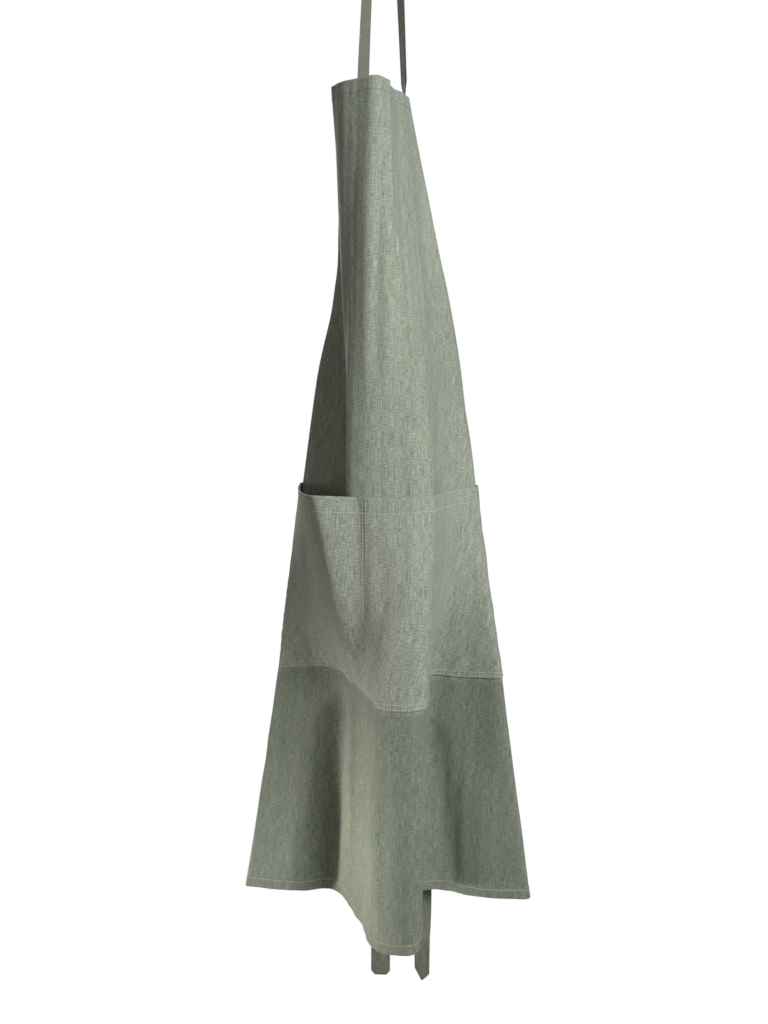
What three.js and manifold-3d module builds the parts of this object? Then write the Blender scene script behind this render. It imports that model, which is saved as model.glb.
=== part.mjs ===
// Linen bib apron hanging by its neck strap from a single wall hook.
// Millimetres, +Z up, +X to the right of someone facing the wall, +Y into the wall.
// The origin is the centre of the hook plate's back face, on the wall plane y = 0.
import * as THREE from 'three';
import { mergeVertices } from 'three/addons/utils/BufferGeometryUtils.js';
import Module from 'manifold-3d';

const wasm = await Module();
wasm.setup();

// Hook
const PLATE_WIDTH = 30;
const PLATE_HEIGHT = 76;
const PLATE_THICKNESS = 5;
const PLATE_CORNER = 7;
const ARM_RADIUS = 5;
const ARM_REACH = 58;
const ARM_BEND_RADIUS = 16;
const ARM_TIP_RISE = 10;
const ARM_TIP_RADIUS = 7;
const SOCKET_DEPTH = 2.5;
const SCREW_OFFSET = 26;
const SCREW_SHANK_RADIUS = 1.9;
const SCREW_LENGTH = 24;
const SCREW_HEAD_RADIUS = 4;
const SCREW_HEAD_HEIGHT = 2.4;
const FIT_GAP = 0.3;

// Cloth
const CLOTH = 1.2;
const BIB_TOP_Z = -278;
const WAIST_DOWN = 330;
const POCKET_TOP_DOWN = 400;
const POCKET_BOTTOM_DOWN = 609;
const HEM_DOWN = 860;
const POCKET_OFFSET = 2.2;
const MOST_MITRE = 2.5;
const CELLS_ACROSS = 54;
const CELLS_ABOVE_POCKET = 10;
const POCKET_CELLS_DOWN = 6;
const CELLS_BELOW_POCKET = 6;

// Straps and ties
const STRAP_WIDTH = 20;
const STRAP_THICKNESS = 1.4;
const STRAP_Y = -44;
const TIE_WIDTH = 22;
const TIE_THICKNESS = 1.2;
const LEFT_TIE_Y = -6;
const RIGHT_TIE_Y = -3.5;
const TIE_SEAM_Y = -9;
const TIE_SEAM = 20;

const sage = 0x8b9488;
const linen = new THREE.MeshStandardMaterial({ color: sage, roughness: 0.95, metalness: 0 });
const steel = new THREE.MeshStandardMaterial({ color: 0xa9abad, roughness: 0.38, metalness: 1 });

// The folds of the hanging cloth, from its left side edge round the front to its right side edge.
// Each line runs down the cloth: [distance below the bib's top edge, x, y].
const folds = {
  leftEdge: [[0, -17, -41], [150, -8, -34], [290, -6, -14], [400, -4, -13], [609, 4, -13], [860, 12, -14]],
  leftCurl: [[0, -22, -50], [150, -18, -31], [290, -28, -33], [400, -32, -42], [609, -16, -44],
    [860, -32, -20]],
  leftWing: [[0, -31, -59], [150, -31, -32], [290, -50, -15], [400, -62, -13], [609, -58, -12],
    [860, -82, -13]],
  leftOutline: [[0, -43, -70], [150, -47, -43], [290, -71, -30], [400, -87, -28], [609, -119, -20],
    [860, -156, -28]],
  pleatValley: [[0, -49, -76], [150, -26, -58], [290, -16, -60], [400, -30, -70], [500, -52, -46],
    [609, -86, -24], [860, -94, -50]],
  frontLeftFold: [[0, -50, -88], [150, -44, -90], [290, -38, -109], [400, -35, -126], [500, -40, -102],
    [609, -50, -46], [860, -56, -55]],
  centreLine: [[0, -8, -131], [150, -16, -132], [290, -18, -134], [400, -19, -139], [500, -19, -137],
    [609, -20, -106], [860, -24, -108]],
  boxRidge: [[0, 3, -113], [150, 6, -130], [290, 8, -140], [400, 8, -145], [609, -3, -157], [860, -5, -163]],
  boxRight: [[0, 7, -94], [150, 19, -110], [290, 36, -122], [400, 43, -138], [609, 36, -164],
    [860, 30, -170]],
  recess: [[0, 13, -76], [150, 32, -86], [290, 50, -94], [400, 56, -88], [500, 53, -62], [609, 47, -44],
    [860, 44, -38]],
  rightPanel: [[0, 20, -58], [150, 42, -65], [290, 63, -74], [400, 73, -74], [609, 86, -47],
    [860, 96, -47]],
  rightOutline: [[0, 25, -44], [150, 55, -48], [290, 81, -54], [400, 93, -70], [609, 125, -58],
    [860, 160, -60]],
  rightWing: [[0, 25, -41], [150, 46, -37], [290, 72, -22], [400, 88, -26], [609, 124, -38],
    [860, 159, -40]],
  rightCurl: [[0, 24, -39], [150, 38, -35], [290, 52, -36], [400, 64, -22], [609, 120, -33],
    [860, 156, -34]],
  rightEdge: [[0, 22, -37], [150, 30, -33], [290, 42, -14], [400, 54, -14], [609, 116, -28],
    [860, 151, -28]],
};
// The pocket runs straighter than the body across its left pleat and its right recess, so it stands
// away from the body there: between these folds, by this share of the way to a straight line, and then
// by a bulge of this many millimetres, highest at a place along the line that moves down the pocket.
const bridges = [
  { from: 'leftOutline', to: 'centreLine', margin: 0.01, share: 0.94, bulge: 38, peak: 0.69, peakMove: 0.17 },
  { from: 'boxRight', to: 'rightOutline', margin: 0.1, share: 0.5, bulge: 0, peak: 0.5, peakMove: 0 },
];
const BULGE_FADE = 1.05;
const PEAK_FADE = 0.6;
const FOLD_DIVISIONS = 40;
const FOLD_STEP = 20;
const BIAS_GIVE = 0.5;

// Smooth, overshoot-free height of one fold line's x (axis 1) or y (axis 2) at a distance down.
function alongFold(stations, down, axis) {
  const last = stations.length - 1;
  let i = 0;
  while (i < last - 1 && down > stations[i + 1][0]) i += 1;
  const slope = (k) => (stations[k + 1][axis] - stations[k][axis]) / (stations[k + 1][0] - stations[k][0]);
  const tangent = (k) => {
    if (k === 0 || k === last) return slope(Math.min(k, last - 1));
    const [before, after] = [slope(k - 1), slope(k)];
    return before * after > 0 ? (2 * before * after) / (before + after) : 0;
  };
  const span = stations[i + 1][0] - stations[i][0];
  const f = THREE.MathUtils.clamp((down - stations[i][0]) / span, 0, 1);
  const start = stations[i][axis] * (1 + 2 * f) * (1 - f) ** 2 + span * tangent(i) * f * (1 - f) ** 2;
  const end = stations[i + 1][axis] * (3 - 2 * f) * f ** 2 + span * tangent(i + 1) * (f - 1) * f ** 2;
  return start + end;
}

// The point of a fold at a distance down the cloth. A fold ends higher the more it slants, but the
// weave gives on the bias, so that this share of the slant doesn't shorten it.
function foldPoint(line, down) {
  const steps = Math.ceil(down / FOLD_STEP);
  const point = new THREE.Vector3(line[0][1], line[0][2], BIB_TOP_Z);
  for (let i = 1; i <= steps; i += 1) {
    const reached = (down * i) / steps;
    const [x, y] = [alongFold(line, reached, 1), alongFold(line, reached, 2)];
    const sideways = Math.hypot(x - point.x, y - point.y);
    point.set(x, y, point.z - Math.sqrt((down / steps) ** 2 - (1 - BIAS_GIVE) * sideways ** 2));
  }
  return point;
}

// One cross-section of the hanging cloth, with the arc lengths at its folds.
function sectionAt(down) {
  const points = Object.values(folds).map((line) => foldPoint(line, down));
  const curve = new THREE.CatmullRomCurve3(points, false, 'centripetal');
  curve.arcLengthDivisions = FOLD_DIVISIONS * (points.length - 1);
  const lengths = curve.getLengths();
  const foldLength = (name) => lengths[FOLD_DIVISIONS * Object.keys(folds).indexOf(name)];
  const centre = foldLength('centreLine');
  const total = lengths[lengths.length - 1];
  const half = (length) => (length < centre ? centre : total - centre);
  const acrossAt = (name) => (foldLength(name) - centre) / half(foldLength(name));
  const pointAt = (across) => {
    const length = centre + across * (across < 0 ? centre : total - centre);
    return curve.getPointAt(THREE.MathUtils.clamp(length / total, 0, 1));
  };
  return { acrossAt, pointAt };
}

// Rows of points of the cloth's mid-surface, from across = -1 at the left side edge, through 0 at
// the centre line, to 1 at the right side edge.
function drape() {
  const stations = [
    ...spread(0, POCKET_TOP_DOWN, CELLS_ABOVE_POCKET),
    ...spread(POCKET_TOP_DOWN, POCKET_BOTTOM_DOWN, POCKET_CELLS_DOWN).slice(1),
    ...spread(POCKET_BOTTOM_DOWN, HEM_DOWN, CELLS_BELOW_POCKET).slice(1),
  ];
  return stations.map((down) => {
    const section = sectionAt(down);
    return { down, section, points: spread(-1, 1, CELLS_ACROSS).map(section.pointAt) };
  });
}

function spread(from, to, count) {
  return Array.from({ length: count + 1 }, (_, i) => from + ((to - from) * i) / count);
}

// The point of a row at any place across it.
function between(points, across) {
  const place = ((across + 1) / 2) * CELLS_ACROSS;
  const i = Math.min(Math.floor(place), CELLS_ACROSS - 1);
  return points[i].clone().lerp(points[i + 1], place - i);
}

// The pocket's rows: the body's own rows beside it, pulled straight across each bridge.
function pocketRows(rows) {
  const beside = rows.slice(CELLS_ABOVE_POCKET, CELLS_ABOVE_POCKET + POCKET_CELLS_DOWN + 1);
  return beside.map(({ down, section, points }) => {
    const lower = (down - POCKET_TOP_DOWN) / (POCKET_BOTTOM_DOWN - POCKET_TOP_DOWN);
    const pulled = points.map((point, i) => {
      const across = -1 + (2 * i) / CELLS_ACROSS;
      const moved = point.clone();
      for (const { from, to, margin, share, bulge, peak, peakMove } of bridges) {
        const first = THREE.MathUtils.lerp(section.acrossAt(from), section.acrossAt(to), margin);
        const last = section.acrossAt(to);
        const along = (across - first) / (last - first);
        if (along > 0 && along < 1) {
          const [start, end] = [between(points, first), between(points, last)];
          const top = peak + peakMove * lower ** PEAK_FADE;
          const fromTop = along < top ? (top - along) / top : (along - top) / (1 - top);
          const profile = Math.cos((Math.PI / 2) * fromTop) ** (along < top ? 1 : 2);
          const swell = bulge * (1 - lower) ** BULGE_FADE * profile;
          const chord = end.clone().sub(start);
          const out = new THREE.Vector3(chord.y, -chord.x, 0).normalize();
          moved.lerp(start.lerp(end, along), share * (1 - lower ** 2)).addScaledVector(out, swell);
        }
      }
      return moved;
    });
    return { points: pulled };
  });
}

// The way out of the cloth at one point of its rows, which is away from the wall in front. It is
// longer at a sharp fold, so that two cloths laid side by side keep their gap round it.
function outward(rows, i, j) {
  const { points } = rows[j];
  const left = points[Math.max(i - 1, 0)];
  const right = points[Math.min(i + 1, points.length - 1)];
  const upper = rows[Math.max(j - 1, 0)].points[i];
  const lower = rows[Math.min(j + 1, rows.length - 1)].points[i];
  const normal = right.clone().sub(left).cross(upper.clone().sub(lower)).normalize();
  const before = points[i].clone().sub(left).normalize();
  const after = right.clone().sub(points[i]).normalize();
  const halfTurn = i > 0 && i < points.length - 1 ? before.angleTo(after) / 2 : 0;
  return normal.divideScalar(Math.max(Math.cos(halfTurn), 1 / MOST_MITRE));
}

// A closed cloth solid: a front and a back face on either side of the rows, and the rim between them.
// Both faces split a cell along the same diagonal, so a twisted cell keeps its thickness.
function clothGeometry(rows, offset) {
  const [across, downward] = [CELLS_ACROSS, rows.length - 1];
  const place = [];
  for (const away of [offset + CLOTH / 2, offset - CLOTH / 2]) {
    rows.forEach(({ points }, j) => {
      points.forEach((point, i) => {
        place.push(...point.clone().addScaledVector(outward(rows, i, j), away).toArray());
      });
    });
  }
  const front = (i, j) => j * (across + 1) + i;
  const back = (i, j) => front(i, j) + (across + 1) * (downward + 1);
  const faces = [];
  for (let j = 0; j < downward; j += 1) {
    for (let i = 0; i < across; i += 1) {
      const corners = [[i, j], [i, j + 1], [i + 1, j + 1], [i + 1, j]];
      const [a, b, c, d] = corners.map((corner) => front(...corner));
      const [e, f, g, h] = corners.map((corner) => back(...corner));
      faces.push(a, b, c, a, c, d, e, g, f, e, h, g);
    }
  }
  const edge = rimOf(across, downward);
  edge.forEach((corner, k) => {
    const next = edge[(k + 1) % edge.length];
    faces.push(front(...next), front(...corner), back(...corner));
    faces.push(front(...next), back(...corner), back(...next));
  });
  const geometry = new THREE.BufferGeometry();
  geometry.setAttribute('position', new THREE.BufferAttribute(Float32Array.from(place), 3));
  geometry.setIndex(faces);
  return geometry;
}

// The grid's outer corners in order: down its left side, along the bottom, up the right and back.
function rimOf(across, downward) {
  return [
    ...spread(0, downward, downward).slice(0, -1).map((j) => [0, j]),
    ...spread(0, across, across).slice(0, -1).map((i) => [i, downward]),
    ...spread(downward, 0, downward).slice(0, -1).map((j) => [across, j]),
    ...spread(across, 0, across).slice(0, -1).map((i) => [i, 0]),
  ];
}

function closed(geometry) {
  geometry.deleteAttribute('normal');
  geometry.deleteAttribute('uv');
  return mergeVertices(geometry, 1e-4);
}

function solid(geometry) {
  const merged = closed(geometry.clone());
  const triVerts = Uint32Array.from(merged.index.array);
  const vertProperties = Float32Array.from(merged.attributes.position.array);
  return new wasm.Manifold(new wasm.Mesh({ numProp: 3, vertProperties, triVerts }));
}

function geometryOf(manifold) {
  const mesh = manifold.getMesh();
  const geometry = new THREE.BufferGeometry();
  geometry.setAttribute('position', new THREE.BufferAttribute(Float32Array.from(mesh.vertProperties), 3));
  geometry.setIndex(Array.from(mesh.triVerts));
  return geometry;
}

// A round bar, turned so that its own axis lies along Y, between two distances from the wall.
function barAlongY(radius, fromY, toY, z, sides = 24) {
  const geometry = new THREE.CylinderGeometry(radius, radius, toY - fromY, sides);
  geometry.translate(0, (fromY + toY) / 2, z);
  return geometry;
}

function roundedRectangle(width, height, corner, segments) {
  const shape = new THREE.Shape();
  const centres = [[1, -1], [1, 1], [-1, 1], [-1, -1]];
  centres.forEach(([sx, sy], quarter) => {
    for (let i = 0; i <= segments; i += 1) {
      const angle = (quarter - 1 + i / segments) * (Math.PI / 2);
      const x = sx * (width / 2 - corner) + corner * Math.cos(angle);
      const y = sy * (height / 2 - corner) + corner * Math.sin(angle);
      if (quarter + i === 0) shape.moveTo(x, y);
      else shape.lineTo(x, y);
    }
  });
  return shape;
}

function hookPlate() {
  const outline = roundedRectangle(PLATE_WIDTH, PLATE_HEIGHT, PLATE_CORNER, 6);
  const slab = new THREE.ExtrudeGeometry(outline, { depth: PLATE_THICKNESS, bevelEnabled: false, steps: 1 });
  slab.rotateX(Math.PI / 2);
  let plate = solid(slab);
  const front = -PLATE_THICKNESS;
  plate = plate.subtract(solid(barAlongY(ARM_RADIUS + FIT_GAP, front - 1, front + SOCKET_DEPTH, 0)));
  for (const z of [-SCREW_OFFSET, SCREW_OFFSET]) {
    plate = plate.subtract(solid(barAlongY(SCREW_SHANK_RADIUS + FIT_GAP, front - 1, 1, z)));
  }
  return geometryOf(plate);
}

// The arm leaves the plate level, bends up at its end and finishes in a ball.
function hookArm() {
  const path = new THREE.CurvePath();
  const root = -PLATE_THICKNESS + SOCKET_DEPTH - FIT_GAP;
  const bend = -ARM_REACH;
  path.add(new THREE.LineCurve3(new THREE.Vector3(0, root, 0), new THREE.Vector3(0, bend, 0)));
  const corner = new THREE.Vector3(0, bend - ARM_BEND_RADIUS, 0);
  const foot = new THREE.Vector3(0, bend - ARM_BEND_RADIUS, ARM_BEND_RADIUS);
  path.add(new THREE.QuadraticBezierCurve3(new THREE.Vector3(0, bend, 0), corner, foot));
  const tip = foot.clone().add(new THREE.Vector3(0, 0, ARM_TIP_RISE));
  path.add(new THREE.LineCurve3(foot, tip));
  const section = new THREE.Shape().absarc(0, 0, ARM_RADIUS, 0, 2 * Math.PI);
  const rod = new THREE.ExtrudeGeometry(section, { steps: 24, extrudePath: path, curveSegments: 9 });
  const ball = new THREE.SphereGeometry(ARM_TIP_RADIUS, 20, 12);
  ball.translate(tip.x, tip.y, tip.z);
  return geometryOf(solid(rod).add(solid(ball)));
}

// A wood screw with a domed head, its axis along Y; the thread is left plain.
function screw(z) {
  const tip = SCREW_LENGTH - PLATE_THICKNESS;
  const seat = PLATE_THICKNESS + FIT_GAP;
  const profile = [
    [0, tip],
    [SCREW_SHANK_RADIUS, tip - 5],
    [SCREW_SHANK_RADIUS, -seat],
    [SCREW_HEAD_RADIUS, -seat],
    [SCREW_HEAD_RADIUS * 0.82, -seat - SCREW_HEAD_HEIGHT * 0.7],
    [SCREW_HEAD_RADIUS * 0.45, -seat - SCREW_HEAD_HEIGHT],
    [0, -seat - SCREW_HEAD_HEIGHT],
  ];
  const points = profile.map(([r, y]) => new THREE.Vector2(r, y)).reverse();
  const geometry = new THREE.LatheGeometry(points, 20);
  geometry.translate(0, 0, z);
  return closed(geometry);
}

// A flat strip along a route, with its width in the route's own flat side. Its steps are spread
// evenly over the route's points, so they crowd together round a bend.
function ribbon(points, width, thickness, stepsPerPoint) {
  const path = new THREE.CatmullRomCurve3(points.map((p) => new THREE.Vector3(...p)), false, 'centripetal');
  path.getUtoTmapping = (u) => u;
  const steps = stepsPerPoint * (points.length - 1);
  const section = roundedRectangle(width, thickness, thickness * 0.45, 1);
  return closed(new THREE.ExtrudeGeometry(section, { steps, extrudePath: path, bevelEnabled: false }));
}

// Up from the bib's left corner, over the hook arm, and down to its right corner.
function neckStrap() {
  const over = ARM_RADIUS + 2 * FIT_GAP + STRAP_THICKNESS / 2;
  const end = BIB_TOP_Z + 0.6 + FIT_GAP;
  const turn = [180, 150, 120, 90, 60, 30, 0].map((degrees) => {
    const angle = THREE.MathUtils.degToRad(degrees);
    return [over * Math.cos(angle), STRAP_Y, over * Math.sin(angle)];
  });
  const leftSide = [[-22, -49, end], [-17.4, -48, -184], [-12, -46, -90], [-over - 1, STRAP_Y, -14]];
  const rightSide = [[over + 1, STRAP_Y, -14], [12, -45, -90], [16.8, -46, -184], [21.5, -47, end]];
  return ribbon([...leftSide, ...turn, ...rightSide], STRAP_WIDTH, STRAP_THICKNESS, 4);
}

// A waist tie hangs straight down behind the cloth from a corner of the waist. The two ties hang
// in planes of their own, so that they can cross.
function waistTie(x, y, endZ) {
  const topZ = BIB_TOP_Z - WAIST_DOWN + TIE_SEAM;
  const route = [
    [x, TIE_SEAM_Y, topZ],
    [x, (TIE_SEAM_Y + y) / 2, topZ - 40],
    [x, y, topZ - 90],
    [x, y, (topZ + endZ) / 2],
    [x, y, endZ],
  ];
  return ribbon(route, TIE_WIDTH, TIE_THICKNESS, 5);
}

const group = new THREE.Group();

function add(name, geometry, material) {
  const mesh = new THREE.Mesh(geometry, material.clone());
  mesh.name = name;
  group.add(mesh);
}

add('hook_plate', hookPlate(), steel);
add('hook_arm', hookArm(), steel);
add('upper_screw', screw(SCREW_OFFSET), steel);
add('lower_screw', screw(-SCREW_OFFSET), steel);
const cloth = drape();
add('body_panel', clothGeometry(cloth, 0), linen);
add('pocket_panel', clothGeometry(pocketRows(cloth), POCKET_OFFSET), linen);
add('neck_strap', neckStrap(), linen);
add('left_tie', waistTie(-4, LEFT_TIE_Y, -1252), linen);
add('right_tie', waistTie(44, RIGHT_TIE_Y, -1256), linen);

export default group;
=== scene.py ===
"""Looks of a linen bib apron that hangs by its neck strap from a wall hook.

Metres, +Z up, +X to the right of someone facing the wall, +Y into the wall, as in the CAD frame.
Lengths written in millimetres are multiplied by MM.
"""
import math

import bpy
import numpy as np
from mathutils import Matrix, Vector


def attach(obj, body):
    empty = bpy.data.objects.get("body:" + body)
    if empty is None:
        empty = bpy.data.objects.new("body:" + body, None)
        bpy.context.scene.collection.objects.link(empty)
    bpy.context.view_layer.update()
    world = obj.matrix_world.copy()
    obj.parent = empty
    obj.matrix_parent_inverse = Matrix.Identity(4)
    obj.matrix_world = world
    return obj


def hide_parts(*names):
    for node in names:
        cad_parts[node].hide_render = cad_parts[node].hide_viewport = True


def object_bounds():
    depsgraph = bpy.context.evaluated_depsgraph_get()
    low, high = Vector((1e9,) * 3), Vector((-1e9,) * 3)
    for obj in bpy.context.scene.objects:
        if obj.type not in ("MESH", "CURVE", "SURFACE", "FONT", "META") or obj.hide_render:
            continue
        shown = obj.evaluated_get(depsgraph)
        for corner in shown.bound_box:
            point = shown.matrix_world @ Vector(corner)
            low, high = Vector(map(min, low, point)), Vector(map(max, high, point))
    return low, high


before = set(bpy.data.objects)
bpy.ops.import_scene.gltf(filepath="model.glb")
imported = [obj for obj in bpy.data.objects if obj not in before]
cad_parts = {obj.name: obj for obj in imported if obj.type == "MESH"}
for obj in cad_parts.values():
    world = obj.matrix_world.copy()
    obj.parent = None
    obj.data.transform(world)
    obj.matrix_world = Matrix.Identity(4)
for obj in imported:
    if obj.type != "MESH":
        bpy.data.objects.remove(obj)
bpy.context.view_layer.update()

MM = 0.001

# Cloth, in millimetres, as the CAD solids are laid out
BIB_TOP_Z = -278
WAIST_DOWN = 330
POCKET_TOP_DOWN = 400
POCKET_BOTTOM_DOWN = 609
HEM_DOWN = 860
CLOTH = 0.7
POCKET_OFFSET = 0.85
ROW_STEP = 3.0
FINE_STEP = 0.9
FINE_REACH = 5
# About half of the cloth's width, which turns a share of the way across into millimetres
HALF_WIDTH = 330
# Share of a fold's slant that doesn't shorten it, and steps of the curve from one fold to the next
BIAS_GIVE = 0.5
FOLD_SAMPLES = 40
# Columns of the mesh: how many, how near the side edges the extra ones are, and their least gap.
# Places across run from -1 at the left side edge, through 0 at the centre line, to 1.
BODY_COLUMNS = 300
EDGE_COLUMNS = (0.0, 0.003, 0.007, 0.012, 0.02)
COLUMN_GAP = 0.0022
# Size of the table of random values behind the relief, and a shift that keeps its places above 0
LATTICE = (97, 89)
LATTICE_SHIFT = 1000

# Hems, in millimetres. The side hem begins at a place across.
BIB_HEM = 14
BOTTOM_HEM = 12
POCKET_HEM = 17
POCKET_BOTTOM_HEM = 7
SIDE_HEM_FROM = 0.965
HEM_RISE = 0.45
HEM_SOFTNESS = 1.2
# The parts of HEM_RISE that a hem stands out in front and behind
BODY_RISE = (0.4, 1.0)
POCKET_RISE = (0.5, 0.4)
# Least and greatest share of a hem's rise, and its details: (share of the rise, place, width).
# The places are measured from the hem's outer edge, its inner edge and the centre line.
HEM_LIMITS = (-0.9, 1.5)
HEM_FOLD = (0.35, 0.8, 1.6)
HEM_GROOVE = (0.8, 2.2, 0.9)
DIVIDER_GROOVE = (0.3, 2, 1.6)

# Stitch lines: millimetres inside a hem's inner edge, beside the divider, and above the pocket's
# bottom edge; then the places across that the lines reach or lie at
HEM_STITCH_INSET = 2
DIVIDER_STITCHES = 2.2
POCKET_SEAMS_UP = (1.8, 6.2)
HEM_LINE_REACH = 0.985
BIB_LINE_REACH = 0.97
SIDE_LINE_PLACE = 0.972
POCKET_HEM_REACH = 0.975
POCKET_SEAM_REACH = 0.98

# Stitches, in millimetres
STITCH_PITCH = 3.3
STITCH_LENGTH = 2.5
STITCH_RADIUS = 0.32
STITCH_SIDES = 6
# A stitch is a row of rings: (place along it, size, height above its middle line), as shares
STITCH_RINGS = [
    (-0.5, 0.25, -0.25),
    (-0.36, 0.9, 0.12),
    (0.0, 1.0, 0.24),
    (0.36, 0.9, 0.12),
    (0.5, 0.25, -0.25),
]
THREAD_LIFT = CLOTH / 2 + 0.05
ACROSS_POINTS = 500
DOWN_POINTS = 160

# Tapes, in millimetres
STRAP_WIDTH = 20
STRAP_THICKNESS = 1.4
TIE_WIDTH = 22
TIE_THICKNESS = 1.2
LEFT_TIE_END = -1252
RIGHT_TIE_END = -1256
TIE_SEAM = 20
TIE_SEAM_Y = -9
HOOK_RADIUS = 6.3
STRAP_Y = -44
TAPE_POINTS = 11
TAPE_STEP = 2.5
# How far from a tape's middle its edge stitching runs, as a share of half its width
TAPE_SEAM_PLACE = 0.8
# How far its stitches lie from its middle plane, as a share of its thickness
TAPE_SEAM_HEIGHT = 0.38
# A tape's end that isn't narrowed: (length that is narrowed, width share at the tip)
FULL_END = (0, 1)

# Looks, in metres: how far threads wander, and where the painted shade, a darker colour below the
# pocket's bottom seam, begins and is full
THREAD_WANDER = 0.0022
SKIRT_SHADE_STEP = (0.606, 0.616)

# The floor, in metres: half its width, and how far it is below the apron
FLOOR_HALF = 40
FLOOR_GAP = 0.45
FLOOR_GREY = (0.4, 0.4, 0.4, 1)
WHITE = (1, 1, 1, 1)
FILL_COLOUR = (1, 0.955, 0.88, 1)

# Flat size of the pocket, in metres: width and height
POCKET_FLAT = (0.62, 0.21)

# The folds of the hanging cloth, from its left side edge round the front to its right side edge.
# Each line runs down the cloth: (distance below the bib's top edge, x, y), in millimetres.
FOLDS = {
    "left_edge": [(0, -17, -41), (150, -8, -34), (290, -6, -14), (400, -4, -13), (609, 4, -13),
                  (860, 12, -14)],
    "left_curl": [(0, -22, -50), (150, -18, -31), (290, -28, -33), (400, -32, -42), (609, -16, -44),
                  (860, -32, -20)],
    "left_wing": [(0, -31, -59), (150, -31, -32), (290, -50, -15), (400, -62, -13), (609, -58, -12),
                  (860, -82, -13)],
    "left_outline": [(0, -43, -70), (150, -47, -43), (290, -71, -30), (400, -87, -28),
                     (609, -119, -20), (860, -156, -28)],
    "pleat_valley": [(0, -49, -76), (150, -26, -58), (290, -16, -60), (400, -30, -70),
                     (500, -52, -46), (609, -86, -24), (860, -94, -50)],
    "front_left_fold": [(0, -50, -88), (150, -44, -90), (290, -38, -109), (400, -35, -126),
                        (500, -40, -102), (609, -50, -46), (860, -56, -55)],
    "centre_line": [(0, -8, -131), (150, -16, -132), (290, -18, -134), (400, -19, -139),
                    (500, -19, -137), (609, -20, -106), (860, -24, -108)],
    "box_ridge": [(0, 3, -113), (150, 6, -130), (290, 8, -140), (400, 8, -145), (609, -3, -157),
                  (860, -5, -163)],
    "box_right": [(0, 7, -94), (150, 19, -110), (290, 36, -122), (400, 43, -138), (609, 36, -164),
                  (860, 30, -170)],
    "recess": [(0, 13, -76), (150, 32, -86), (290, 50, -94), (400, 56, -88), (500, 53, -62),
               (609, 47, -44), (860, 44, -38)],
    "right_panel": [(0, 20, -58), (150, 42, -65), (290, 63, -74), (400, 73, -74), (609, 86, -47),
                    (860, 96, -47)],
    "right_outline": [(0, 25, -44), (150, 55, -48), (290, 81, -54), (400, 93, -70), (609, 125, -58),
                      (860, 160, -60)],
    "right_wing": [(0, 25, -41), (150, 46, -37), (290, 72, -22), (400, 88, -26), (609, 124, -38),
                   (860, 159, -40)],
    "right_curl": [(0, 24, -39), (150, 38, -35), (290, 52, -36), (400, 64, -22), (609, 120, -33),
                   (860, 156, -34)],
    "right_edge": [(0, 22, -37), (150, 30, -33), (290, 42, -14), (400, 54, -14), (609, 116, -28),
                   (860, 151, -28)],
}
# The pocket stands away from the body between two folds. Each bridge is (from, to, margin at its
# start, share of the way to a straight line, bulge in millimetres, place of the bulge's top along
# the line, how far that place moves down the pocket).
BRIDGES = [
    ("left_outline", "centre_line", 0.01, 0.94, 38, 0.69, 0.17),
    ("box_right", "right_outline", 0.1, 0.5, 0, 0.5, 0),
]
BULGE_FADE = 1.05
PEAK_FADE = 0.6
# How far the pocket stands off the body, in millimetres: at its open edge, and in its puffs and sags
POCKET_GAPE = 2.2
POCKET_PUFF = 0.6
POCKET_SAG = 0.7
# The places across at which the gape ends, and within which puffs and sags fade to the divider
GAPE_REACH = 0.94
PUFF_FADE = 0.06
SAG_FADE = 0.05

# Relief of the hanging cloth, in millimetres: (height, size across, size down, seed)
STREAKS = [(1.7, 19, 330, 3), (0.7, 8, 190, 4)]
DENTS = (0.8, 45, 60, 5)
HEM_RIPPLE = (1.5, 13, 60, 6)
HEM_RIPPLE_FROM = 770
HEM_RIPPLE_RISE = 90
SEAM_PUCKER = (0.28, 3.4, 30, 7)
SEAM_PUCKER_REACH = 7
# Relief fades by this share towards the side edges, from this place across, over this much
RELIEF_CALM = 0.75
CALM_FROM = 0.75
CALM_OVER = 0.2
PUFF_NOISE = (1, 34, 60, 11)
SAG_NOISE = (1, 12, 90, 12)

# Small soft folds: (place across at its top, at its bottom, distance down of its top, of its
# bottom, width, height), the last four in millimetres.
SOFT_FOLDS = [
    (0.10, 0.04, 20, 300, 9, -2.4),
    (-0.16, -0.12, 60, 380, 16, -0.9),
    (0.24, 0.17, 120, 395, 8, 2.1),
    (0.42, 0.40, 330, 398, 6, -3.3),
    (-0.06, -0.13, 420, 640, 11, 2.4),
    (0.07, 0.10, 430, 700, 12, -2.25),
    (0.30, 0.27, 640, 850, 9, 3.0),
    (0.665, 0.685, 650, 880, 14, -6.75),
    (0.80, 0.79, 700, 880, 16, 3.75),
    (0.52, 0.56, 430, 610, 10, 2.4),
    (-0.20, -0.215, 615, 880, 14, -8.25),
    (-0.31, -0.33, 625, 880, 17, 4.5),
    (0.14, 0.13, 650, 852, 7, 1.95),
]
SOFT_FOLD_FADE = 45


# ---------------------------------------------------------------- cloth shape

def along_fold(line, down, axis):
    """Smooth, overshoot-free x (axis 1) or y (axis 2) of one fold line at distances down."""
    at, value = line[:, 0], line[:, axis]
    slope = np.diff(value) / np.diff(at)
    before, after = slope[:-1], slope[1:]
    same = before * after > 0
    inner = np.where(same, 2 * before * after / np.where(same, before + after, 1), 0)
    tangent = np.concatenate([slope[:1], inner, slope[-1:]])
    i = np.clip(np.searchsorted(at, down, side="left") - 1, 0, len(at) - 2)
    span = at[i + 1] - at[i]
    f = np.clip((down - at[i]) / span, 0, 1)
    start = value[i] * (1 + 2 * f) * (1 - f) ** 2 + span * tangent[i] * f * (1 - f) ** 2
    end = value[i + 1] * (3 - 2 * f) * f**2 + span * tangent[i + 1] * (f - 1) * f**2
    return start + end


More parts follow.
